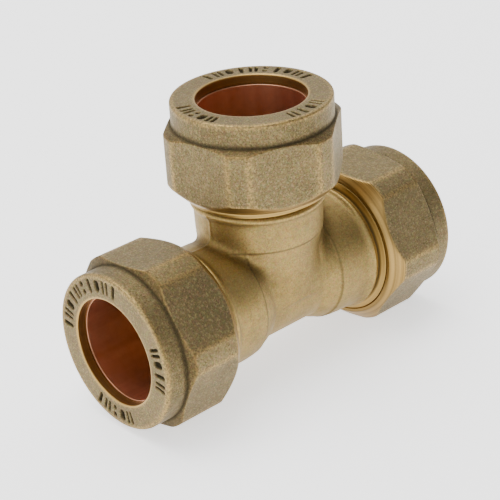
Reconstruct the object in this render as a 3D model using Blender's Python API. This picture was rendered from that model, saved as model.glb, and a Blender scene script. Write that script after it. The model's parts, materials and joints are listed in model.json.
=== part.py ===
"""Equal compression tee for 15 mm copper tube, with three nuts and three olives.

Frame: metres, +Z up along the branch, X along the run. The origin is under the
branch axis, level with the lowest edges of the two run nuts.
"""
import math

import bmesh
import bpy
from mathutils import Matrix

MM = 0.001
SEGMENTS = 48
SHARP_ANGLE = math.radians(28.0)

# Height of the run axis above the lowest edge of the run nuts.
AXIS_HEIGHT = 12.02

# Distance from the crossing of the two axes to each nut's outer face.
RUN_FACE = 27.6
BRANCH_FACE = 28.3

# Nut, measured along its axis from its outer face (FACE = 0) to its back.
NUT_LENGTH = 12.85
NUT_COLLAR_R = 11.25
NUT_COLLAR_LENGTH = 3.2
NUT_EDGE = 0.4
NUT_FLAT = 11.6
NUT_CORNER_R = 12.63
NUT_SHOULDER_DROP = 0.7
NUT_BACK_R = 10.94
NUT_BACK_CHAMFER = 1.7
NUT_LIP_R = 7.7
NUT_LIP_LENGTH = 1.15
NUT_CONE_START_R = 8.4
NUT_CONE_END_R = 9.4
NUT_CONE_END = 4.4
NUT_THREAD_START = 4.6
NUT_THREAD_R = 10.55

# Angle of one hexagon corner about each arm's axis, in degrees.
LEFT_CORNER = -5.5
RIGHT_CORNER = 5.5
BRANCH_CORNER = 37.2

# Olive, measured like the nut.
OLIVE_START = 1.5
OLIVE_END = 9.5
OLIVE_BORE_R = 7.55
OLIVE_TIP_R = 8.0
OLIVE_CROWN_R = 8.95
OLIVE_CROWN_START = 4.4
OLIVE_CROWN_END = 6.6

# Body, measured outward from the crossing along an arm.
BRANCH_ROOT = ((0.0, 7.4), (2.5, 8.2), (6.7, 8.3), (7.5, 8.6))
RUN_ROOT = ((4.9, 7.63), (5.6, 8.0), (6.4, 8.35), (7.2, 8.65))
COLLAR = ((8.2, 8.9), (9.4, 9.05), (12.4, 9.1), (12.9, 9.25), (13.3, 9.55), (13.65, 9.6), (13.95, 9.35))
GROOVE_R = 9.2
GROOVE_START = 14.0
GROOVE_END = 14.4
SPIGOT_R = 10.2
SPIGOT_START = 14.6
SPIGOT_END = 22.35
SPIGOT_EDGE = 0.5
MOUTH_R = 9.3
MOUTH_DEPTH = 1.35
SEAT_END = 18.1
SEAT_END_R = 8.35
SOCKET_START = 17.75
SOCKET_R = 7.65
TUBE_STOP = 9.5
RUN_WATERWAY_R = 6.0
BRANCH_WATERWAY_R = 5.8
CUT_OVERRUN = 2.0

# Linear base colours.
BODY_COLOUR = (0.46, 0.33, 0.16, 1.0)
NUT_COLOUR = (0.33, 0.25, 0.14, 1.0)
OLIVE_COLOUR = (0.62, 0.22, 0.09, 1.0)


def clear_scene():
    """Remove every object in the scene."""
    for obj in list(bpy.data.objects):
        bpy.data.objects.remove(obj, do_unlink=True)


def metal(name, colour, roughness):
    """Return a metallic Principled material."""
    material = bpy.data.materials.new(name)
    material.use_nodes = True
    shader = material.node_tree.nodes["Principled BSDF"]
    shader.inputs["Base Color"].default_value = colour
    shader.inputs["Metallic"].default_value = 1.0
    shader.inputs["Roughness"].default_value = roughness
    material.diffuse_color = colour
    return material


def ring(bm, radius, height, segments):
    """Add one ring of vertices about local Z."""
    step = 2.0 * math.pi / segments
    verts = []
    for index in range(segments):
        angle = step * (index + 0.5)
        x = radius * math.cos(angle) * MM
        y = radius * math.sin(angle) * MM
        verts.append(bm.verts.new((x, y, height * MM)))
    return verts


def bridge(bm, first, second):
    """Join two rings of equal count with quads."""
    count = len(first)
    for index in range(count):
        after = (index + 1) % count
        bm.faces.new((first[index], first[after], second[after], second[index]))


def finish_mesh(bm, name):
    """Turn a bmesh into a mesh whose faces point outward."""
    bmesh.ops.recalc_face_normals(bm, faces=bm.faces)
    mesh = bpy.data.meshes.new(name)
    bm.to_mesh(mesh)
    bm.free()
    return mesh


def lathe_tube(name, profile, segments=SEGMENTS):
    """Revolve a closed (radius, height) outline that stays clear of the axis."""
    bm = bmesh.new()
    rings = [ring(bm, radius, height, segments) for radius, height in profile]
    for index, current in enumerate(rings):
        bridge(bm, current, rings[(index + 1) % len(rings)])
    return finish_mesh(bm, name)


def lathe_bar(name, profile, segments=SEGMENTS):
    """Revolve an open (radius, height) outline and cap both of its ends."""
    bm = bmesh.new()
    rings = [ring(bm, radius, height, segments) for radius, height in profile]
    for first, second in zip(rings, rings[1:]):
        bridge(bm, first, second)
    bm.faces.new(rings[0])
    bm.faces.new(rings[-1])
    return finish_mesh(bm, name)


def hexagon_bar(name, flat, low, high):
    """Return a hexagonal prism about local Z with a corner on local X."""
    bm = bmesh.new()
    corner = flat / math.cos(math.pi / 6.0)
    rings = []
    for height in (low, high):
        verts = []
        for index in range(6):
            angle = index * math.pi / 3.0
            x = corner * math.cos(angle) * MM
            y = corner * math.sin(angle) * MM
            verts.append(bm.verts.new((x, y, height * MM)))
        rings.append(verts)
    bridge(bm, rings[0], rings[1])
    bm.faces.new(rings[0])
    bm.faces.new(rings[1])
    return finish_mesh(bm, name)


def place(name, mesh, matrix=None):
    """Link a new object that carries the mesh."""
    obj = bpy.data.objects.new(name, mesh)
    bpy.context.scene.collection.objects.link(obj)
    if matrix is not None:
        obj.matrix_world = matrix
    return obj


def combine(base, others, operation):
    """Apply exact booleans of the other objects to the base and remove them."""
    for other in others:
        modifier = base.modifiers.new(operation.lower(), "BOOLEAN")
        modifier.operation = operation
        modifier.solver = "EXACT"
        modifier.object = other
    bpy.context.view_layer.update()
    depsgraph = bpy.context.evaluated_depsgraph_get()
    result = bpy.data.meshes.new_from_object(base.evaluated_get(depsgraph))
    base.modifiers.clear()
    base.data = result
    for other in others:
        bpy.data.objects.remove(other, do_unlink=True)
    return base


def smooth(mesh, material):
    """Shade the mesh smooth across its shallow edges and give it one material."""
    mesh.materials.clear()
    mesh.materials.append(material)
    for polygon in mesh.polygons:
        polygon.material_index = 0
    mesh.shade_smooth()
    mesh.set_sharp_from_angle(angle=SHARP_ANGLE)


def nut_outline():
    """Closed outline of the nut, with its face at height 0 and its back below."""
    shoulder = -NUT_COLLAR_LENGTH
    back = -NUT_LENGTH
    return (
        (NUT_LIP_R + NUT_EDGE, 0.0),
        (NUT_COLLAR_R - NUT_EDGE, 0.0),
        (NUT_COLLAR_R, -NUT_EDGE),
        (NUT_COLLAR_R, shoulder),
        (NUT_CORNER_R, shoulder - NUT_SHOULDER_DROP),
        (NUT_CORNER_R, back + NUT_BACK_CHAMFER),
        (NUT_BACK_R, back),
        (NUT_THREAD_R, back),
        (NUT_THREAD_R, -NUT_THREAD_START),
        (NUT_CONE_END_R, -NUT_CONE_END),
        (NUT_CONE_START_R, -NUT_LIP_LENGTH),
        (NUT_LIP_R, -NUT_LIP_LENGTH),
        (NUT_LIP_R, -NUT_EDGE),
    )


def nut_mesh():
    """Round nut blank cut to a hexagon with turned corners."""
    blank = place("nut_blank", lathe_tube("nut_blank", nut_outline()))
    prism = place("nut_prism", hexagon_bar("nut_prism", NUT_FLAT, -NUT_LENGTH - 1.0, 1.0))
    combine(blank, [prism], "INTERSECT")
    mesh = blank.data
    bpy.data.objects.remove(blank, do_unlink=True)
    return mesh


def olive_mesh():
    """Double-coned copper ring, with its front tip just inside the nut's lip."""
    outline = (
        (OLIVE_BORE_R, -OLIVE_START),
        (OLIVE_TIP_R, -OLIVE_START),
        (OLIVE_CROWN_R, -OLIVE_CROWN_START),
        (OLIVE_CROWN_R, -OLIVE_CROWN_END),
        (OLIVE_TIP_R, -OLIVE_END),
        (OLIVE_BORE_R, -OLIVE_END),
    )
    return lathe_tube("olive", outline)


def arm_outline(root):
    """Outside of one arm, from its root out to the end of its spigot."""
    outline = [(radius, distance) for distance, radius in root + COLLAR]
    outline += [
        (GROOVE_R, GROOVE_START),
        (GROOVE_R, GROOVE_END),
        (SPIGOT_R, SPIGOT_START),
        (SPIGOT_R, SPIGOT_END - SPIGOT_EDGE),
        (SPIGOT_R - SPIGOT_EDGE, SPIGOT_END),
    ]
    return outline


def bore_outline(waterway):
    """Inside of one arm, from the tube stop out past the mouth."""
    return [
        (waterway, TUBE_STOP),
        (SOCKET_R, TUBE_STOP),
        (SOCKET_R, SOCKET_START),
        (SEAT_END_R, SEAT_END),
        (MOUTH_R, SPIGOT_END - MOUTH_DEPTH),
        (MOUTH_R, SPIGOT_END + CUT_OVERRUN),
    ]


def mirrored(outline):
    """Repeat an outline on the other side of the crossing, as one run."""
    return [(radius, -distance) for radius, distance in reversed(outline)] + outline


def body_mesh(run_axis, branch_axis):
    """Forged tee: two lathed bars joined, then bored from all three ends."""
    run = mirrored(arm_outline(RUN_ROOT))
    branch = arm_outline(BRANCH_ROOT)
    run_bore = mirrored(bore_outline(RUN_WATERWAY_R))
    branch_bore = [(BRANCH_WATERWAY_R, 0.0)] + bore_outline(BRANCH_WATERWAY_R)
    body = place("tee_body", lathe_bar("run", run), run_axis)
    stem = place("stem", lathe_bar("stem", branch), branch_axis)
    combine(body, [stem], "UNION")
    cut_run = place("cut_run", lathe_bar("cut_run", run_bore), run_axis)
    cut_branch = place("cut_branch", lathe_bar("cut_branch", branch_bore), branch_axis)
    combine(body, [cut_run, cut_branch], "DIFFERENCE")
    return body


def arm_matrix(direction, distance, corner):
    """Frame of one arm: local +Z points outward, turned by the corner angle."""
    lift = Matrix.Translation((0.0, 0.0, AXIS_HEIGHT * MM))
    turns = {
        "left": Matrix.Rotation(-math.pi / 2.0, 4, "Y"),
        "right": Matrix.Rotation(math.pi / 2.0, 4, "Y"),
        "branch": Matrix.Identity(4),
    }
    out = Matrix.Translation((0.0, 0.0, distance * MM))
    spin = Matrix.Rotation(math.radians(corner), 4, "Z")
    return lift @ turns[direction] @ out @ spin


def build():
    """Build the seven pieces."""
    clear_scene()
    body_metal = metal("forged_brass", BODY_COLOUR, 0.34)
    nut_metal = metal("blasted_brass", NUT_COLOUR, 0.5)
    olive_metal = metal("copper", OLIVE_COLOUR, 0.25)
    run_axis = arm_matrix("right", 0.0, 0.0)
    branch_axis = arm_matrix("branch", 0.0, 0.0)
    body = body_mesh(run_axis, branch_axis)
    smooth(body.data, body_metal)
    nut = nut_mesh()
    smooth(nut, nut_metal)
    olive = olive_mesh()
    smooth(olive, olive_metal)
    # Local X of the left arm points up, and of the right arm down, so a corner
    # angle counted from +Y towards +Z is turned by a quarter turn on each.
    arms = (
        ("left", "run_nut_left", "run_olive_left", RUN_FACE, 90.0 - LEFT_CORNER),
        ("right", "run_nut_right", "run_olive_right", RUN_FACE, 90.0 + RIGHT_CORNER),
        ("branch", "branch_nut", "branch_olive", BRANCH_FACE, BRANCH_CORNER),
    )
    for direction, nut_name, olive_name, face, corner in arms:
        place(nut_name, nut, arm_matrix(direction, face, corner))
        place(olive_name, olive, arm_matrix(direction, face, 0.0))


build()
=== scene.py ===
"""Looks of the 15 mm compression tee: forged body, blasted nuts and copper olives.

Named lengths are in millimetres and named angles in degrees. The table and the
lamps are in metres.
"""

import json
import math

import bpy
import numpy as np
from mathutils import Matrix, Vector


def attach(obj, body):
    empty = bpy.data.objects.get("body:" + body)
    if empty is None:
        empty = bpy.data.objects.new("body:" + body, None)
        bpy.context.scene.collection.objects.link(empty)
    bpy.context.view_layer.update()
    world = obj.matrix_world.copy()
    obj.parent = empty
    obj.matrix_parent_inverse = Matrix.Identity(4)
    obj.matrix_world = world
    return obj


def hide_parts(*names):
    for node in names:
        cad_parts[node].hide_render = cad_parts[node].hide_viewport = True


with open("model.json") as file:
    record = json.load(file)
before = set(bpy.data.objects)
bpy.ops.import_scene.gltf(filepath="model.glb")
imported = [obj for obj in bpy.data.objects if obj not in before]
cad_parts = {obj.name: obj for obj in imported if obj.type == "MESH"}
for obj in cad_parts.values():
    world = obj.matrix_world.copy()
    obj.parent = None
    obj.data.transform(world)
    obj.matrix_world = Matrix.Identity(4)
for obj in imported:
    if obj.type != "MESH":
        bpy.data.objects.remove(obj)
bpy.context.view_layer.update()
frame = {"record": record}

MM = 0.001
TURN = 2.0 * math.pi

# Joint positions give the run axis height and the two face distances.
JOINTS = {joint["name"]: joint for joint in frame["record"]["behaviour"]["joints"]}
AXIS_HEIGHT = JOINTS["right_nut_turn"]["pos_m"][2] / MM
RUN_FACE = JOINTS["right_nut_turn"]["pos_m"][0] / MM
BRANCH_FACE = JOINTS["top_nut_turn"]["pos_m"][2] / MM - AXIS_HEIGHT

# Angle of each nut about its own outward axis.
LEFT_TURN = 35.5
RIGHT_TURN = 95.5
BRANCH_TURN = 37.2

# Values of the zone attribute: a blasted or cast skin, or a turned surface.
ZONE_BLASTED = 0.0
ZONE_TURNED = 1.0

# How far wear spreads from a raised corner and painted shade from a sunk one.
WEAR_REACH = 0.22
CREASE_REACH = 0.3


# ---------------------------------------------------------------- mesh helpers

BEND_POINTS = 7
LONGEST_BEND = 0.45
STRAIGHT = 0.05


def make_mesh(name, verts, quads, attributes):
    """Mesh from an array of points and an array of quads."""
    mesh = bpy.data.meshes.new(name)
    count = len(quads)
    mesh.vertices.add(len(verts))
    mesh.vertices.foreach_set("co", (verts * MM).astype(np.float32).ravel())
    mesh.loops.add(count * 4)
    mesh.loops.foreach_set("vertex_index", quads.astype(np.int32).ravel())
    mesh.polygons.add(count)
    mesh.polygons.foreach_set("loop_start", np.arange(0, count * 4, 4, dtype=np.int32))
    mesh.update(calc_edges=True)
    for key, values in attributes.items():
        layer = mesh.attributes.new(key, "FLOAT", "POINT")
        layer.data.foreach_set("value", values.astype(np.float32).ravel())
    mesh.shade_smooth()
    mesh.validate()
    return mesh


def unit(vector):
    """Vector of length one that points the same way."""
    return vector / max(np.linalg.norm(vector), 1e-9)


def fade(distance, sign):
    """How much of a corner's wear or painted shade is left at a distance from it."""
    reach = CREASE_REACH if sign < 0.0 else WEAR_REACH
    return math.exp(-(distance / reach) ** 2)


def round_corner(before, here, after, corner_radius):
    """Start, middle and end of a rounded corner, and +1 if it is convex."""
    into = unit(before - here)
    out = unit(after - here)
    half = 0.5 * math.acos(float(np.clip(into @ out, -1.0, 1.0)))
    reach = LONGEST_BEND * min(np.linalg.norm(before - here), np.linalg.norm(after - here))
    cut = min(corner_radius / max(math.tan(half), 1e-6), reach)
    turn = float(-into[0] * out[1] + into[1] * out[0])
    sign = 0.0 if abs(turn) < STRAIGHT else math.copysign(1.0, turn)
    return here + into * cut, here, here + out * cut, sign


def outline(points):
    """Closed outline with rounded corners.

    Each point is (radius, height, corner radius, step, zone). The step and the
    zone belong to the straight run that follows the point. Returns radius,
    height, signed edge closeness (+1 on a convex corner) and zone arrays.
    """
    count = len(points)
    flat = [np.array(point[:2], float) for point in points]
    corners = [
        round_corner(flat[index - 1], flat[index], flat[(index + 1) % count], points[index][2])
        for index in range(count)
    ]
    rows = []
    for index, (first, here, last, sign) in enumerate(corners):
        step, zone = points[index][3:]
        for blend in np.linspace(0.0, 1.0, BEND_POINTS):
            bend = (1 - blend) ** 2 * first + 2 * blend * (1 - blend) * here + blend ** 2 * last
            rows.append((bend[0], bend[1], sign, zone))
        follow, _, _, next_sign = corners[(index + 1) % count]
        length = np.linalg.norm(follow - last)
        parts = max(1, int(math.ceil(length / step)))
        for part in range(1, parts):
            spot = last + (follow - last) * part / parts
            walked = length * part / parts
            edge = sign * fade(walked, sign) + next_sign * fade(length - walked, next_sign)
            rows.append((spot[0], spot[1], edge, zone))
    return np.array(rows).T


def revolve(name, radius, height, attributes):
    """Closed surface from (rows, columns) arrays of radius and height.

    The attribute along holds the height, so turned surfaces get rings round the axis.
    """
    rows, columns = radius.shape
    angle = np.arange(columns) * TURN / columns
    verts = np.stack([radius * np.cos(angle), radius * np.sin(angle), height], axis=-1)
    row, column = np.meshgrid(np.arange(rows), np.arange(columns), indexing="ij")
    next_row = (row + 1) % rows
    next_column = (column + 1) % columns
    quads = np.stack([
        row * columns + column,
        row * columns + next_column,
        next_row * columns + next_column,
        next_row * columns + column,
    ], axis=-1)
    flat = {key: np.broadcast_to(value, radius.shape) for key, value in attributes.items()}
    flat["along"] = height
    return make_mesh(name, verts.reshape(-1, 3), quads.reshape(-1, 4), flat)


def soft_min(first, second, softness):
    """Smooth minimum that rounds the edge where the two surfaces meet."""
    low = np.minimum(first, second)
    gap = np.abs(first - second)
    return low - softness * np.log1p(np.exp(-gap / softness))


def smooth_step(low, high, value):
    """Cubic ramp from 0 at low to 1 at high."""
    blend = np.clip((value - low) / (high - low), 0.0, 1.0)
    return blend * blend * (3.0 - 2.0 * blend)


def bell(value, width):
    """Bell curve, 1 at zero."""
    return np.exp(-(value / width) ** 2)


# ---------------------------------------------------------------- screw thread

PITCH = 1.814
CREST_R = 10.3
ROOT_R = 9.18
ROOT_SHARE = 0.14
FLANK_SHARE = 0.72
THREAD_GAP = 0.16
NUT_THREAD_MIN_R = 9.5


def thread_radius(distance, angle, face, turn):
    """Outside radius of the screw thread of the arm whose nut face is given."""
    phase = (distance - face) / PITCH - (angle - turn) / TURN
    wave = np.abs(2.0 * (phase - np.floor(phase)) - 1.0)
    lift = np.clip((wave - ROOT_SHARE) / FLANK_SHARE, 0.0, 1.0)
    return ROOT_R + (CREST_R - ROOT_R) * lift


# ---------------------------------------------------------------- nut

NUT_COLUMNS = 900
NUT_LENGTH = 12.85
NUT_BACK_R = 10.94
NUT_MOUTH_R = 10.5
NUT_CHAMFER = 1.7
NUT_CORNER_R = 12.63
HEX_FLAT = 11.6
HEX_SOFTNESS = 0.1
CORNER_WEAR = 0.2
SHOULDER_LENGTH = 0.7
COLLAR_R = 11.25
COLLAR_LENGTH = 3.2
LIP_R = 7.7
LIP_DEPTH = 1.44
RELIEF_R = 10.52
RELIEF_START = 4.8
THREAD_START = 4.75

# Where the parts of the nut lie, as heights and radii of its round blank.
OUTSIDE_TOP = -3.0
OUTSIDE_MIN_R = 10.8
BORE_MAX_R = 10.6
FACE_BOTTOM = -0.6
FACE_MIN_R = 7.9
COLLAR_RISE = (-3.5, -3.1)
COLLAR_FALL = (-0.1, -0.5)
COLLAR_MIN_R = 11.0
SHOULDER_TOP = -3.15
SHOULDER_BOTTOM = -4.0
SHOULDER_MIN_R = 11.3
LIP_BOTTOM = -1.5
LIP_MAX_R = 7.8
BACK_TOP = -11.0

# Painted shade on the nut's collar side, shoulder crescents and back chamfer, and a darker brown
# tint in its lip.
COLLAR_SHADE = 0.15
SHOULDER_SHADE = 0.55
LIP_DARKENING = 0.12
BACK_SHADE = 0.28

# Plain stamp marks on the nut face: (middle angle, spread, marks). Each mark is
# a bar, two thin bars, a block or a pair of dots.
STAMPS = (
    (2.7, 92.0, ("bar", "twin", "block", "bar", "dots", "twin", "bar", "block", "twin", "bar")),
    (240.0, 30.0, ("twin", "bar", "block", "twin")),
    (138.0, 38.0, ("bar", "twin", "dots", "block", "twin")),
)
STAMP_R = 9.6
STAMP_DEPTH = 0.42

# Distances from a mark's outline at which it is full depth and at which it ends.
STAMP_EDGE = (-0.1, 0.08)

# Half length of each mark's straight part, its sideways offset and its half width.
MARK_SIZES = {
    "bar": (0.72, 0.0, 0.27),
    "twin": (0.72, 0.4, 0.2),
    "block": (0.3, 0.0, 0.5),
}
DOT_R = 0.34
DOT_OFFSET = 0.56


def mark_distance(mark, across, outward):
    """Distance from the outline of one stamp mark, negative inside."""
    if mark == "dots":
        return np.hypot(across, np.abs(outward) - DOT_OFFSET) - DOT_R
    half_length, offset, half_width = MARK_SIZES[mark]
    over = np.maximum(np.abs(outward) - half_length, 0.0)
    return np.hypot(np.abs(across) - offset, over) - half_width


def stamp_depth(angle, radius):
    """Depth of the stamped marks over the nut's face, from 0 to 1."""
    depth = np.zeros(np.broadcast(angle, radius).shape)
    for middle, spread, marks in STAMPS:
        places = np.linspace(-0.5, 0.5, len(marks)) * spread + middle
        for place, mark in zip(places, marks):
            across = ((angle - math.radians(place) + math.pi) % TURN - math.pi) * STAMP_R
            gap = mark_distance(mark, across, radius - STAMP_R)
            depth = np.maximum(depth, 1.0 - smooth_step(*STAMP_EDGE, gap))
    return depth


def nut_outline():
    """Outline of the round blank of the nut, with its face at height 0."""
    return outline((
        (10.45, -NUT_LENGTH, 0.05, 0.1, ZONE_TURNED),
        (NUT_BACK_R, -NUT_LENGTH, 0.14, 0.07, ZONE_TURNED),
        (NUT_CORNER_R, NUT_CHAMFER - NUT_LENGTH, 0.1, 0.4, ZONE_BLASTED),
        (NUT_CORNER_R, -COLLAR_LENGTH - SHOULDER_LENGTH, 0.06, 0.06, ZONE_BLASTED),
        (COLLAR_R, -COLLAR_LENGTH, 0.1, 0.3, ZONE_BLASTED),
        (COLLAR_R, 0.0, 0.42, 0.1, ZONE_BLASTED),
        (LIP_R, 0.0, 0.2, 0.12, ZONE_TURNED),
        (LIP_R, -LIP_DEPTH, 0.04, 0.2, ZONE_TURNED),
        (8.3, -LIP_DEPTH, 0.08, 0.4, ZONE_TURNED),
        (9.4, -4.4, 0.1, 0.3, ZONE_TURNED),
        (RELIEF_R, -RELIEF_START, 0.1, 0.12, ZONE_TURNED),
    ))


def nut_bore(height, angle):
    """Radius of the nut's threaded bore, with its mouth and its relief."""
    wall = np.maximum(thread_radius(height, angle, 0.0, 0.0) + THREAD_GAP, NUT_THREAD_MIN_R)
    mouth = NUT_MOUTH_R - np.clip(height + NUT_LENGTH, 0.0, 1.0)
    relief = RELIEF_R - np.clip(-THREAD_START - height, 0.0, 1.0)
    return np.minimum(np.maximum(np.maximum(wall, mouth), relief), RELIEF_R)


def nut_painted_shade(radius, blank, height, hexagon, zone):
    """How much each point of the nut is darkened: painted shade on the collar side, the shoulder
    crescents and the back chamfer, and a darker brown tint in the lip.
    """
    collar = smooth_step(*COLLAR_RISE, height) * smooth_step(*COLLAR_FALL, height)
    collar = collar * (blank > COLLAR_MIN_R)
    shoulder = (height < SHOULDER_TOP) & (height > SHOULDER_BOTTOM)
    shoulder = shoulder & (blank > SHOULDER_MIN_R) & (radius > SHOULDER_MIN_R)
    shoulder = shoulder & (blank < hexagon + 0.05)
    lip = (blank < LIP_MAX_R) & (height > LIP_BOTTOM)
    back = (height < BACK_TOP) & (blank > OUTSIDE_MIN_R)
    parts = (COLLAR_SHADE * collar, SHOULDER_SHADE * shoulder, LIP_DARKENING * lip,
             BACK_SHADE * back * zone)
    return np.maximum.reduce(parts)


def nut_mesh():
    """Hexagon nut with turned collar, stamped face and cut thread."""
    angle = (np.arange(NUT_COLUMNS) * TURN / NUT_COLUMNS)[None, :]
    blank, height, edge, zone = (
        np.repeat(row[:, None], NUT_COLUMNS, axis=1) for row in nut_outline()
    )
    hexagon = HEX_FLAT / np.cos(angle % (TURN / 6.0) - TURN / 12.0)
    outside = (height < OUTSIDE_TOP) & (blank > OUTSIDE_MIN_R)
    radius = np.where(outside, soft_min(blank, hexagon, HEX_SOFTNESS), blank)
    corner = bell(blank - hexagon, CORNER_WEAR)
    raised = np.maximum(edge * (blank < hexagon + 0.3), corner)
    edge = np.where(outside & (edge > -0.05), raised, edge)
    zone = np.where(outside & (hexagon < blank - 0.05), ZONE_BLASTED, zone)
    bore = (height < -THREAD_START) & (blank < BORE_MAX_R)
    radius = np.where(bore, nut_bore(height, angle), radius)
    face = (height > FACE_BOTTOM) & (blank > FACE_MIN_R)
    mark = np.where(face, stamp_depth(angle, blank), 0.0)
    # Painted shade and the lip tint, carried to the shader as a point attribute.
    painted_shade = nut_painted_shade(radius, blank, height, hexagon, zone)
    return revolve("nut", radius, height - STAMP_DEPTH * mark, {
        "edge": edge, "zone": zone, "mark": mark, "painted_shade": painted_shade,
    })


# ---------------------------------------------------------------- olive

OLIVE_COLUMNS = 240
OLIVE_BORE_R = 7.55
OLIVE_END_R = 8.0
OLIVE_CROWN_R = 8.95
OLIVE_FRONT = 1.5
OLIVE_BACK = 9.5


def olive_mesh():
    """Copper olive: a double cone outside and a plain bore inside."""
    radius, height, edge, _ = outline((
        (OLIVE_BORE_R, -OLIVE_BACK, 0.16, 0.1, ZONE_BLASTED),
        (OLIVE_END_R, -OLIVE_BACK, 0.12, 0.5, ZONE_BLASTED),
        (OLIVE_CROWN_R, -6.6, 0.5, 0.4, ZONE_BLASTED),
        (OLIVE_CROWN_R, -4.4, 0.5, 0.5, ZONE_BLASTED),
        (OLIVE_END_R, -OLIVE_FRONT, 0.12, 0.1, ZONE_BLASTED),
        (OLIVE_BORE_R, -OLIVE_FRONT, 0.06, 0.5, ZONE_BLASTED),
    ))
    shape = (len(radius), OLIVE_COLUMNS)
    radius = np.broadcast_to(radius[:, None], shape)
    height = np.broadcast_to(height[:, None], shape)
    return revolve("olive", radius, height, {"edge": edge[:, None]})


# ---------------------------------------------------------------- spigot

SPIGOT_COLUMNS = 480
SPIGOT_END = 22.35
SPIGOT_MOUTH_R = 9.3
GROOVE_R = 9.2
SOCKET_R = 7.65
THREAD_RUN_IN = (15.0, 15.9)
WALL_START = 14.6
WALL_MIN_R = 9.65


def spigot_mesh(name, face, turn):
    """Threaded end of one arm, from the groove to the mouth."""
    radius, height, edge, zone = outline((
        (7.9, 13.6, 0.05, 0.5, ZONE_TURNED),
        (8.9, 13.6, 0.05, 0.5, ZONE_TURNED),
        (8.9, 14.0, 0.05, 0.3, ZONE_TURNED),
        (GROOVE_R, 14.05, 0.03, 0.1, ZONE_TURNED),
        (GROOVE_R, 14.4, 0.05, 0.06, ZONE_TURNED),
        (CREST_R, 14.72, 0.1, 0.09, ZONE_TURNED),
        (CREST_R, 21.85, 0.05, 0.06, ZONE_TURNED),
        (9.7, SPIGOT_END, 0.08, 0.1, ZONE_TURNED),
        (SPIGOT_MOUTH_R, SPIGOT_END, 0.08, 0.3, ZONE_TURNED),
        (SPIGOT_MOUTH_R, 21.0, 0.1, 0.4, ZONE_TURNED),
        (8.35, 18.1, 0.05, 0.2, ZONE_TURNED),
        (SOCKET_R, 17.75, 0.05, 0.5, ZONE_TURNED),
        (SOCKET_R, 13.7, 0.05, 0.3, ZONE_TURNED),
    ))
    shape = (len(radius), SPIGOT_COLUMNS)
    radius = np.broadcast_to(radius[:, None], shape)
    height = np.broadcast_to(height[:, None], shape)
    angle = (np.arange(SPIGOT_COLUMNS) * TURN / SPIGOT_COLUMNS)[None, :]
    cut = thread_radius(height, angle, face, math.radians(turn))
    cut = radius + (cut - radius) * smooth_step(*THREAD_RUN_IN, height)
    wall = (height > WALL_START) & (radius > WALL_MIN_R)
    radius = np.where(wall, np.minimum(radius, cut), radius)
    return revolve(name, radius, height, {"edge": edge[:, None], "zone": zone[:, None]})


# ---------------------------------------------------------------- forged hub

# Turned outside of the arms as (distance from the crossing, radius).
ARM_END = (
    (12.2, 9.1), (12.6, 9.14), (12.95, 9.3), (13.2, 9.52), (13.45, 9.62), (13.7, 9.58),
    (13.9, 9.42), (14.02, 9.2), (14.3, 9.1),
)
RUN_PROFILE = (
    (0.0, 7.63), (4.6, 7.63), (4.9, 7.68), (5.3, 7.9), (5.9, 8.2), (6.6, 8.46), (7.15, 8.62),
    (7.25, 8.67), (7.35, 8.78), (7.5, 8.86), (8.3, 8.97), (9.4, 9.06),
) + ARM_END
BRANCH_PROFILE = (
    (0.0, 7.5), (1.5, 7.95), (3.0, 8.15), (5.0, 8.25), (6.4, 8.35), (7.2, 8.55), (7.9, 8.68),
    (8.3, 8.74), (8.4, 8.8), (8.5, 8.9), (8.65, 8.97), (9.4, 9.04),
) + ARM_END
SLOPE_PROBE = 0.1

HUB_END = 14.12
HUB_REACH = 10.4
HUB_MARGIN = 0.6
STOP = 9.5
RUN_WATERWAY_R = 6.0
BRANCH_WATERWAY_R = 5.8
CROTCH_BLEND = 1.5
PARTING_HEIGHT = 0.07
PARTING_WIDTH = 0.2

GRID_STEP = 0.17
SETTLE_ROUNDS = 3
SETTLE_SHARE = 0.7
SETTLE_PROBE = 0.02

# Painted shade in the crotches and in the pockets beside the branch, painted shade lines at the
# small steps, and wear on the end beads.
CROTCH_SHADE = 0.2
POCKET_SHADE = 0.72
POCKET_SHIFT = 0.55
POCKET_WIDTH = 1.35
POCKET_RISE = (3.0, 6.2)
RUN_STEP = 7.38
BRANCH_STEP = 8.48
STEP_WIDTH = 0.15
STEP_MAX_R = 9.4
STEP_SHADE = 0.7
BEAD = 13.5
BEAD_WIDTH = 0.22


def turned_distance(across, distance, profile):
    """Approximate distance from a turned surface given as a profile."""
    places, radii = np.array(profile).T
    here = np.interp(distance, places, radii)
    rise = (np.interp(distance + SLOPE_PROBE, places, radii)
            - np.interp(distance - SLOPE_PROBE, places, radii))
    slope = rise / (2.0 * SLOPE_PROBE)
    return (across - here) / np.sqrt(1.0 + slope * slope)


def skin_distance(x, y, z):
    """Distance from the outside of the hub, and how much nearer the run is than the branch."""
    reach = np.abs(x)
    run = np.maximum(turned_distance(np.hypot(y, z), reach, RUN_PROFILE), reach - HUB_END)
    stem = turned_distance(np.hypot(x, y), z, BRANCH_PROFILE)
    stem = np.maximum(np.maximum(stem, z - HUB_END), -z)
    close = np.maximum(CROTCH_BLEND - np.abs(run - stem), 0.0) / CROTCH_BLEND
    skin = np.minimum(run, stem) - close * close * CROTCH_BLEND * 0.25
    return skin - PARTING_HEIGHT * bell(y, PARTING_WIDTH), run - stem


def bore_distance(x, y, z):
    """Distance from the waterways and tube sockets, negative in the hollow."""
    run_across = np.hypot(y, z)
    stem_across = np.hypot(x, y)
    run_socket = np.maximum(run_across - SOCKET_R, STOP - np.abs(x))
    stem_socket = np.maximum(stem_across - SOCKET_R, STOP - z)
    run = np.minimum(run_across - RUN_WATERWAY_R, run_socket)
    stem = np.minimum(stem_across - BRANCH_WATERWAY_R, stem_socket)
    return np.minimum(run, np.maximum(stem, -z))


def hub_distance(x, y, z):
    """Signed distance of the forged hub, negative inside the metal."""
    return np.maximum(skin_distance(x, y, z)[0], -bore_distance(x, y, z))


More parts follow.
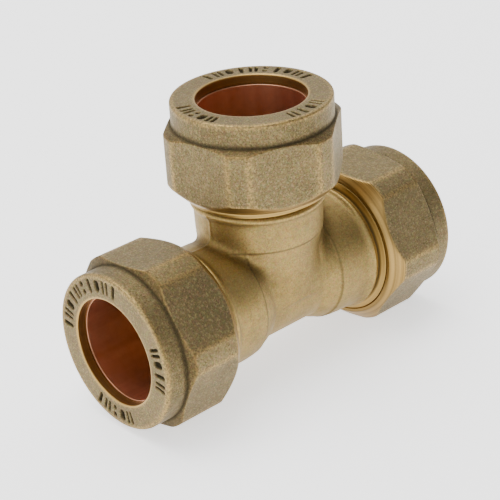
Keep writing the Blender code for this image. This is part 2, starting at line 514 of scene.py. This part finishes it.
def net_points(values, shape):
    """Which cells the surface crosses, and where in each cell it lies."""
    total = np.zeros(shape)
    place = np.zeros(tuple(shape) + (3,))
    corner = [(0, 0, 0), (1, 0, 0), (0, 1, 0), (1, 1, 0), (0, 0, 1), (1, 0, 1), (0, 1, 1), (1, 1, 1)]
    pairs = [(a, b) for a in range(8) for b in range(a + 1, 8)
             if sum(abs(p - q) for p, q in zip(corner[a], corner[b])) == 1]
    for first, second in pairs:
        low, high = (
            values[tuple(slice(start, start + size) for start, size in zip(corner[end], shape))]
            for end in (first, second)
        )
        crosses = (low < 0.0) != (high < 0.0)
        blend = np.where(crosses, low / np.where(crosses, low - high, 1.0), 0.0)
        for axis in range(3):
            move = corner[first][axis] + blend * (corner[second][axis] - corner[first][axis])
            place[..., axis] += np.where(crosses, move, 0.0)
        total += crosses
    used = total > 0
    return used, place[used] / total[used][:, None]


def net_quads(inside, number, axis):
    """Quads across the grid edges that run along one axis and cross the surface."""
    side = [slice(1, -1)] * 3
    side[axis] = slice(0, -1)
    ahead = [slice(1, -1)] * 3
    ahead[axis] = slice(1, None)
    low = inside[tuple(side)]
    spots = np.stack(np.nonzero(low != inside[tuple(ahead)]), axis=-1)
    rising = low[tuple(spots.T)]
    base = spots + 1
    base[:, axis] -= 1
    ring = []
    for shift_one, shift_two in ((-1, -1), (0, -1), (0, 0), (-1, 0)):
        cell = base.copy()
        cell[:, (axis + 1) % 3] += shift_one
        cell[:, (axis + 2) % 3] += shift_two
        ring.append(number[tuple(cell.T)])
    ring = np.stack(ring, axis=-1)
    ring[~rising] = ring[~rising][:, ::-1]
    return ring


def surface_net(values, origin, step):
    """Points and quads around the zero level of a grid of signed distances."""
    shape = np.array(values.shape) - 1
    used, place = net_points(values, shape)
    number = np.full(tuple(shape), -1, dtype=np.int64)
    number[used] = np.arange(int(used.sum()))
    verts = (np.stack(np.nonzero(used), axis=-1) + place) * step + origin
    quads = [net_quads(values < 0.0, number, axis) for axis in range(3)]
    return verts, np.concatenate(quads)


def settle(verts):
    """Move points onto the exact surface of the hub."""
    for _ in range(SETTLE_ROUNDS):
        value = hub_distance(*verts.T)
        slope = []
        for axis in range(3):
            probe = np.zeros(3)
            probe[axis] = SETTLE_PROBE
            slope.append(hub_distance(*(verts + probe).T) - hub_distance(*(verts - probe).T))
        slope = np.stack(slope, axis=-1) / (2.0 * SETTLE_PROBE)
        size = np.maximum((slope ** 2).sum(axis=1), 0.25)
        move = np.clip(value / size, -GRID_STEP, GRID_STEP)
        verts = verts - SETTLE_SHARE * slope * move[:, None]
    return verts


def hub_attributes(x, y, z):
    """Zone, painted shade, edge and distance along the arm at each point of the hub; the edge holds
    bead wear and painted shade lines at the steps.
    """
    skin, lead = skin_distance(x, y, z)
    zone = np.abs(bore_distance(x, y, z)) < np.abs(skin)
    reach = np.abs(x)
    run_across = np.hypot(y, z)
    stem_across = np.hypot(x, y)
    # Painted shade in the crotches and in the pockets between the branch and the arms.
    pocket = smooth_step(*POCKET_RISE, z) * smooth_step(*POCKET_RISE, reach)
    pocket = pocket * bell(lead + POCKET_SHIFT, POCKET_WIDTH)
    crotch = CROTCH_SHADE * bell(lead, CROTCH_BLEND)
    painted_shade = np.maximum(crotch, POCKET_SHADE * pocket) * ~zone
    # Painted shade lines at the small steps of the arms, stored as sunk edges.
    run_step = bell(reach - RUN_STEP, STEP_WIDTH) * (run_across < STEP_MAX_R)
    branch_step = bell(z - BRANCH_STEP, STEP_WIDTH) * (stem_across < STEP_MAX_R)
    edge = bell(np.maximum(reach, z) - BEAD, BEAD_WIDTH)
    edge = edge - STEP_SHADE * np.maximum(run_step, branch_step)
    run_gap = np.abs(run_across - np.where(reach > STOP, SOCKET_R, RUN_WATERWAY_R))
    stem_gap = np.abs(stem_across - np.where(z > STOP, SOCKET_R, BRANCH_WATERWAY_R))
    along = np.where((run_gap < stem_gap) | (z < 0.0), x, z)
    return {"edge": edge, "zone": zone.astype(float), "painted_shade": painted_shade, "along": along}


def hub_mesh():
    """Forged centre of the tee with its three bores."""
    end = HUB_END + HUB_MARGIN
    low = np.array([-end, -HUB_REACH, -HUB_REACH])
    high = np.array([end, HUB_REACH, end])
    axes = [np.arange(low[i], high[i] + GRID_STEP, GRID_STEP) for i in range(3)]
    grid = np.meshgrid(*axes, indexing="ij", sparse=True)
    verts, quads = surface_net(hub_distance(*grid), low, GRID_STEP)
    verts = settle(verts)
    return make_mesh("hub", verts, quads, hub_attributes(*verts.T))


# ---------------------------------------------------------------- node helpers

WHITE = (1.0, 1.0, 1.0, 1.0)
BLACK = (0.0, 0.0, 0.0, 1.0)


def node(tree, kind, **inputs):
    """Add a shader node and set its inputs by name."""
    made = tree.nodes.new(kind)
    for key, value in inputs.items():
        made.inputs[key.replace("_", " ")].default_value = value
    return made


def ramp(tree, source, low, high, start=BLACK, end=WHITE):
    """Colour ramp between two positions."""
    made = tree.nodes.new("ShaderNodeValToRGB")
    made.color_ramp.elements[0].position = low
    made.color_ramp.elements[0].color = start
    made.color_ramp.elements[1].position = high
    made.color_ramp.elements[1].color = end
    tree.links.new(source, made.inputs["Fac"])
    return made.outputs["Color"]


def fill(tree, socket, value):
    """Link a socket into an input, or set the input to a plain value."""
    if isinstance(value, bpy.types.NodeSocket):
        tree.links.new(value, socket)
    else:
        socket.default_value = value


def mix(tree, factor, first, second, mode="MIX"):
    """Mix two colours; each may be a socket or a colour."""
    made = tree.nodes.new("ShaderNodeMix")
    made.data_type = "RGBA"
    made.blend_type = mode
    made.clamp_factor = True
    for key, value in ((0, factor), (6, first), (7, second)):
        fill(tree, made.inputs[key], value)
    return made.outputs[2]


def maths(tree, operation, first, second=0.0, clamp=False):
    """One Math node; each operand may be a socket or a number."""
    made = tree.nodes.new("ShaderNodeMath")
    made.operation = operation
    made.use_clamp = clamp
    for index, value in enumerate((first, second)):
        fill(tree, made.inputs[index], value)
    return made.outputs[0]


def noise(tree, place, scale, detail=3.0, rough=0.55):
    """Noise texture read at the given coordinates."""
    made = node(tree, "ShaderNodeTexNoise", Scale=scale, Detail=detail, Roughness=rough)
    tree.links.new(place, made.inputs["Vector"])
    return made.outputs["Fac"]


def attribute(tree, name):
    """Value of a point attribute."""
    made = tree.nodes.new("ShaderNodeAttribute")
    made.attribute_name = name
    return made.outputs["Fac"]


def bump(tree, height, distance, strength, below=None):
    """Bump node over an optional earlier normal."""
    made = node(tree, "ShaderNodeBump", Strength=strength, Distance=distance)
    tree.links.new(height, made.inputs["Height"])
    if below is not None:
        tree.links.new(below, made.inputs["Normal"])
    return made.outputs["Normal"]


def new_material(name):
    """Empty material with its tree, shader and object coordinates."""
    material = bpy.data.materials.new(name)
    material.use_nodes = True
    tree = material.node_tree
    shader = tree.nodes["Principled BSDF"]
    place = tree.nodes.new("ShaderNodeTexCoord").outputs["Object"]
    return material, tree, shader, place


def dimmed(colour, share):
    """Colour made darker."""
    return [share * channel for channel in colour[:3]] + [1.0]


# ---------------------------------------------------------------- brass

FORGED = {
    "base": (0.36, 0.25, 0.087, 1.0),
    "shade": (0.255, 0.182, 0.068, 1.0),
    "light": (0.47, 0.33, 0.12, 1.0),
    "gold": (0.52, 0.34, 0.105, 1.0),
    "rough": 0.52,
    "grain": 0.017,
    "speckle": 0.38,
}
BLASTED = {
    "base": (0.222, 0.167, 0.077, 1.0),
    "shade": (0.165, 0.125, 0.06, 1.0),
    "light": (0.36, 0.275, 0.13, 1.0),
    "gold": (0.48, 0.31, 0.1, 1.0),
    "rough": 0.58,
    "grain": 0.028,
    "speckle": 0.65,
}
# Tint multiplied in for the painted shade on the hub and the nuts, and for the brown tint in the nut
# lips.
SHADE_TINT = (0.34, 0.28, 0.2, 1.0)
# Painted shade colour for sunk corners and the stamped marks.
HOLLOW_SHADE_COLOUR = (0.035, 0.03, 0.018, 1.0)

# Noise scales per metre, from cloudy patches to single grains.
BROAD_SCALE = 130.0
MID_SCALE = 900.0
TINT_SCALE = 2600.0
FINE_SCALE = 3400.0
GRIT_SCALE = 6200.0
PIT_SHADE = 0.36

# Rings that the lathe left: scale of their colour per millimetre, pitch and depth.
RING_SCALE = 2.6
RING_PITCH = 0.19
RING_DEPTH = 0.004


def skin_tone(tree, look, place, grain):
    """Colour of cast or blasted brass before wear and dirt."""
    tone = mix(tree, ramp(tree, grain["broad"], 0.36, 0.66), look["base"], look["shade"])
    patches = maths(tree, "MULTIPLY", ramp(tree, grain["mid"], 0.42, 0.62), 0.35)
    tone = mix(tree, patches, tone, look["shade"])
    pits = ramp(tree, grain["grit"], 0.36, 0.5, WHITE, BLACK)
    pits = maths(tree, "MULTIPLY", pits, look["speckle"])
    tone = mix(tree, pits, tone, dimmed(look["shade"], PIT_SHADE))
    sparks = maths(tree, "MULTIPLY", ramp(tree, grain["fine"], 0.5, 0.64), look["speckle"])
    tone = mix(tree, sparks, tone, look["light"])
    tint = node(tree, "ShaderNodeTexNoise", Scale=TINT_SCALE, Detail=2.0, Roughness=0.6)
    tree.links.new(place, tint.inputs["Vector"])
    return mix(tree, 0.35, tone, tint.outputs["Color"], "SOFT_LIGHT")


def turned_tone(tree, look, along):
    """Colour of turned brass, with faint rings round the axis."""
    rings = node(tree, "ShaderNodeTexNoise", Scale=RING_SCALE, Detail=3.0, Roughness=0.55)
    rings.noise_dimensions = "1D"
    tree.links.new(along, rings.inputs["W"])
    rings = ramp(tree, rings.outputs["Fac"], 0.38, 0.62)
    return mix(tree, rings, look["gold"], dimmed(look["gold"], 0.6))


def brass_roughness(tree, look, grain, zone, wear_and_rim_shade, hollow_shade):
    """Roughness: matte on the skin, smoother where turned or worn."""
    vary = maths(tree, "MULTIPLY", maths(tree, "SUBTRACT", grain["mid"], 0.5), 0.25)
    rough = maths(tree, "ADD", look["rough"], vary)
    rough = maths(tree, "SUBTRACT", rough, maths(tree, "MULTIPLY", wear_and_rim_shade, 0.1))
    turned = maths(tree, "ADD", 0.3, maths(tree, "MULTIPLY", grain["broad"], 0.12))
    rough = mix(tree, zone, rough, turned)
    return maths(tree, "ADD", rough, maths(tree, "MULTIPLY", hollow_shade, 0.3), True)


def brass_normal(tree, look, grain, zone, along):
    """Fine relief: grains and dents on the skin, rings where turned."""
    matte = maths(tree, "SUBTRACT", 1.0, zone)
    grains = maths(tree, "ADD", grain["fine"], maths(tree, "MULTIPLY", grain["grit"], 0.6))
    grains = maths(tree, "MULTIPLY", grains, matte)
    normal = bump(tree, grains, look["grain"] * MM, 1.0)
    dents = maths(tree, "MULTIPLY", grain["mid"], matte)
    normal = bump(tree, dents, 1.2 * look["grain"] * MM, 1.0, normal)
    rings = maths(tree, "SINE", maths(tree, "MULTIPLY", along, TURN / RING_PITCH))
    rings = maths(tree, "MULTIPLY", maths(tree, "ADD", rings, grain["mid"]), zone)
    return bump(tree, rings, RING_DEPTH * MM, 0.8, normal)


def brass(name, look):
    """Cast, blasted and turned brass told apart by the zone attribute."""
    material, tree, shader, place = new_material(name)
    zone = attribute(tree, "zone")
    edge = attribute(tree, "edge")
    along = attribute(tree, "along")
    grain = {
        "broad": noise(tree, place, BROAD_SCALE, 4.0),
        "mid": noise(tree, place, MID_SCALE, 4.0, 0.6),
        "fine": noise(tree, place, FINE_SCALE, 3.0, 0.7),
        "grit": noise(tree, place, GRIT_SCALE, 2.0, 0.6),
    }
    wear_and_rim_shade = maths(tree, "MAXIMUM", edge, 0.0)
    wear_and_rim_shade = maths(tree, "MULTIPLY", wear_and_rim_shade, ramp(tree, grain["fine"], 0.38, 0.58))
    # Painted shade in sunk corners and inside the stamped marks; the same mask also makes them
    # rougher.
    crease = maths(tree, "MAXIMUM", maths(tree, "MULTIPLY", edge, -1.0), 0.0)
    stamped = maths(tree, "MULTIPLY", attribute(tree, "mark"), 0.94)
    hollow_shade = maths(tree, "MAXIMUM", maths(tree, "MULTIPLY", crease, 0.65), stamped)
    tone = skin_tone(tree, look, place, grain)
    tone = mix(tree, maths(tree, "MULTIPLY", wear_and_rim_shade, 0.5), tone, look["gold"])
    tone = mix(tree, maths(tree, "MULTIPLY", zone, 0.9), tone, turned_tone(tree, look, along))
    # Painted shade: darker crotches and pockets on the hub, darker collar sides, shoulders and back
    # chambers on the nuts, and a brown tint in the nut lips.
    tone = mix(tree, attribute(tree, "painted_shade"), tone, SHADE_TINT, "MULTIPLY")
    tree.links.new(mix(tree, hollow_shade, tone, HOLLOW_SHADE_COLOUR), shader.inputs["Base Color"])
    shader.inputs["Metallic"].default_value = 1.0
    rough = brass_roughness(tree, look, grain, zone, wear_and_rim_shade, hollow_shade)
    tree.links.new(rough, shader.inputs["Roughness"])
    tree.links.new(brass_normal(tree, look, grain, zone, along), shader.inputs["Normal"])
    return material


# ---------------------------------------------------------------- copper

COPPER = (0.98, 0.54, 0.36, 1.0)
COPPER_SHADE = (0.95, 0.5, 0.32, 1.0)
COPPER_BAND = (0.7, 0.3, 0.17, 1.0)
COPPER_RIM_SHADE = (0.5, 0.3, 0.16, 1.0)
COPPER_STAIN = (0.6, 0.22, 0.1, 1.0)
DRAWN_STRETCH = (1.0, 1.0, 0.06)
DRAWN_DEPTH = 0.003


def copper():
    """Smooth annealed copper with faint drawn lines, light reddish stains and painted shade on the
    rounded rims.
    """
    material, tree, shader, place = new_material("copper")
    broad = noise(tree, place, 160.0, 3.0)
    mid = noise(tree, place, 1100.0, 3.0)
    stretch = node(tree, "ShaderNodeMapping", Scale=DRAWN_STRETCH)
    tree.links.new(place, stretch.inputs["Vector"])
    drawn = stretch.outputs["Vector"]
    tone = mix(tree, ramp(tree, broad, 0.35, 0.65), COPPER, COPPER_SHADE)
    band = ramp(tree, noise(tree, drawn, 420.0, 3.0), 0.4, 0.6)
    tone = mix(tree, maths(tree, "MULTIPLY", band, 0.4), tone, COPPER_BAND)
    # Painted shade: the rounded rims are darkened to dim their reflection.
    wear_and_rim_shade = maths(tree, "MAXIMUM", attribute(tree, "edge"), 0.0)
    tone = mix(tree, maths(tree, "MULTIPLY", wear_and_rim_shade, 0.35), tone, COPPER_RIM_SHADE)
    stain = maths(tree, "MULTIPLY", ramp(tree, mid, 0.4, 0.7), 0.15)
    tree.links.new(mix(tree, stain, tone, COPPER_STAIN), shader.inputs["Base Color"])
    shader.inputs["Metallic"].default_value = 1.0
    rough = maths(tree, "ADD", 0.3, maths(tree, "MULTIPLY", mid, 0.06))
    tree.links.new(rough, shader.inputs["Roughness"])
    lines = noise(tree, drawn, 2400.0, 2.0)
    tree.links.new(bump(tree, lines, DRAWN_DEPTH * MM, 0.4), shader.inputs["Normal"])
    return material


# ---------------------------------------------------------------- placing

# Rotation about Y that points each arm's own Z outward.
SWINGS = {"left": -90.0, "right": 90.0, "branch": 0.0}


def arm_matrix(arm, distance, turn):
    """Frame of one arm in metres: local +Z points outward along the arm."""
    lift = Matrix.Translation((0.0, 0.0, AXIS_HEIGHT * MM))
    swing = Matrix.Rotation(math.radians(SWINGS[arm]), 4, "Y")
    out = Matrix.Translation((0.0, 0.0, distance * MM))
    return lift @ swing @ out @ Matrix.Rotation(math.radians(turn), 4, "Z")


def put(name, mesh, matrix, body, material):
    """Object that rides on a body and takes its finish from a slot."""
    obj = bpy.data.objects.new(name, mesh)
    bpy.context.scene.collection.objects.link(obj)
    obj.matrix_world = matrix
    if not mesh.materials:
        mesh.materials.append(material)
    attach(obj, body)
    return obj


def build_fitting():
    """The seven real pieces; the body is shown as a forging and three spigots."""
    forged = brass("forged_brass", FORGED)
    blasted = brass("blasted_brass", BLASTED)
    metal = copper()
    nut = nut_mesh()
    olive = olive_mesh()
    arms = (
        ("left", RUN_FACE, LEFT_TURN, "left", "run_nut_left", "run_olive_left"),
        ("right", RUN_FACE, RIGHT_TURN, "right", "run_nut_right", "run_olive_right"),
        ("branch", BRANCH_FACE, BRANCH_TURN, "top", "branch_nut", "branch_olive"),
    )
    crossing = arm_matrix("branch", 0.0, 0.0)
    hub = put("hub_forging", hub_mesh(), crossing, "tee", forged)
    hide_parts("tee_body")
    for arm, face, turn, side, nut_node, olive_node in arms:
        spigot = spigot_mesh("spigot_" + arm, face, turn)
        place = arm_matrix(arm, 0.0, 0.0)
        piece = put("spigot_" + arm, spigot, place, "tee", forged)
        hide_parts("tee_body")
        place = arm_matrix(arm, face, turn)
        piece = put("nut_" + arm, nut, place, side + "_nut", blasted)
        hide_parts(nut_node)
        place = arm_matrix(arm, face, 0.0)
        piece = put("olive_" + arm, olive, place, side + "_olive", metal)
        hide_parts(olive_node)


# ---------------------------------------------------------------- studio

# The table and the lamps, in metres.
TABLE_HALF = 3.0
TABLE_GLOW = 1.25
TABLE_ROUGH = 0.75
TENT_STRENGTH = 1.5
TENT_BRIGHT = (0.95, 0.95, 0.95, 1.0)
TENT_DIM = (0.2, 0.2, 0.2, 1.0)
DIM_DIRECTION = (0.36, -0.86, 0.36)
LIGHT_TARGET = (0.0, 0.0, 0.012)

# Name, place, size and power of each lamp.
SOFTBOXES = (
    ("overhead", (-0.1, 0.2, 1.1), 0.9, 12.0),
    ("left", (-0.95, -0.1, 0.5), 0.6, 2.0),
)


def table():
    """Large pale light table, which glows a little from below."""
    mesh = bpy.data.meshes.new("table")
    half = TABLE_HALF
    corners = [(-half, -half, 0), (half, -half, 0), (half, half, 0), (-half, half, 0)]
    mesh.from_pydata(corners, [], [(0, 1, 2, 3)])
    obj = bpy.data.objects.new("table", mesh)
    bpy.context.scene.collection.objects.link(obj)
    material, tree, shader, place = new_material("pale_table")
    cloud = noise(tree, place, 6.0, 2.0)
    tone = mix(tree, cloud, (0.86, 0.86, 0.86, 1.0), (0.9, 0.9, 0.9, 1.0))
    tree.links.new(tone, shader.inputs["Base Color"])
    shader.inputs["Roughness"].default_value = TABLE_ROUGH
    shader.inputs["Emission Color"].default_value = WHITE
    shader.inputs["Emission Strength"].default_value = TABLE_GLOW
    mesh.materials.append(material)


def softbox(name, place, size, power):
    """Square area light aimed at the fitting."""
    light = bpy.data.lights.new(name, "AREA")
    light.shape = "SQUARE"
    light.size = size
    light.energy = power
    obj = bpy.data.objects.new(name, light)
    bpy.context.scene.collection.objects.link(obj)
    obj.location = place
    direction = Vector(LIGHT_TARGET) - Vector(place)
    obj.rotation_euler = direction.to_track_quat("-Z", "Y").to_euler()


def tent():
    """Pale tent all round, with a dim opening in front and to the right."""
    world = bpy.data.worlds.new("studio")
    world.use_nodes = True
    tree = world.node_tree
    place = tree.nodes.new("ShaderNodeTexCoord").outputs["Generated"]
    facing = tree.nodes.new("ShaderNodeVectorMath")
    facing.operation = "DOT_PRODUCT"
    facing.inputs[1].default_value = DIM_DIRECTION
    tree.links.new(place, facing.inputs[0])
    tone = ramp(tree, facing.outputs["Value"], 0.35, 0.9, TENT_BRIGHT, TENT_DIM)
    tree.links.new(tone, tree.nodes["Background"].inputs["Color"])
    tree.nodes["Background"].inputs["Strength"].default_value = TENT_STRENGTH
    bpy.context.scene.world = world


# Camera, in degrees and in millimetres from the crossing of the arms.
CAMERA_AZIMUTH = -41.385
CAMERA_ELEVATION = 26.785
CAMERA_ROLL = -3.869
CAMERA_DISTANCE = 232.229
CAMERA_SIDE = 1.871
CAMERA_RISE = -4.118
CAMERA_LENS = 116.64
CAMERA_SENSOR = 36.0


def camera():
    """Camera that looks at the fitting from the front left and above."""
    azimuth = math.radians(CAMERA_AZIMUTH)
    elevation = math.radians(CAMERA_ELEVATION)
    roll = math.radians(CAMERA_ROLL)
    back = Vector((
        math.sin(azimuth) * math.cos(elevation),
        -math.cos(azimuth) * math.cos(elevation),
        math.sin(elevation),
    ))
    right = Vector((math.cos(azimuth), math.sin(azimuth), 0.0))
    up = back.cross(right)
    side = right * math.cos(roll) + up * math.sin(roll)
    rise = up * math.cos(roll) - right * math.sin(roll)
    crossing = Vector((0.0, 0.0, AXIS_HEIGHT))
    place = crossing - side * CAMERA_SIDE - rise * CAMERA_RISE + back * CAMERA_DISTANCE
    data = bpy.data.cameras.new("camera")
    data.lens = CAMERA_LENS
    data.sensor_width = CAMERA_SENSOR
    data.clip_start = 0.01
    data.clip_end = 20.0
    obj = bpy.data.objects.new("camera", data)
    bpy.context.scene.collection.objects.link(obj)
    matrix = Matrix((side, rise, back)).transposed().to_4x4()
    matrix.translation = place * MM
    obj.matrix_world = matrix
    bpy.context.scene.camera = obj


build_fitting()
table()
tent()
for lamp in SOFTBOXES:
    softbox(*lamp)
camera()
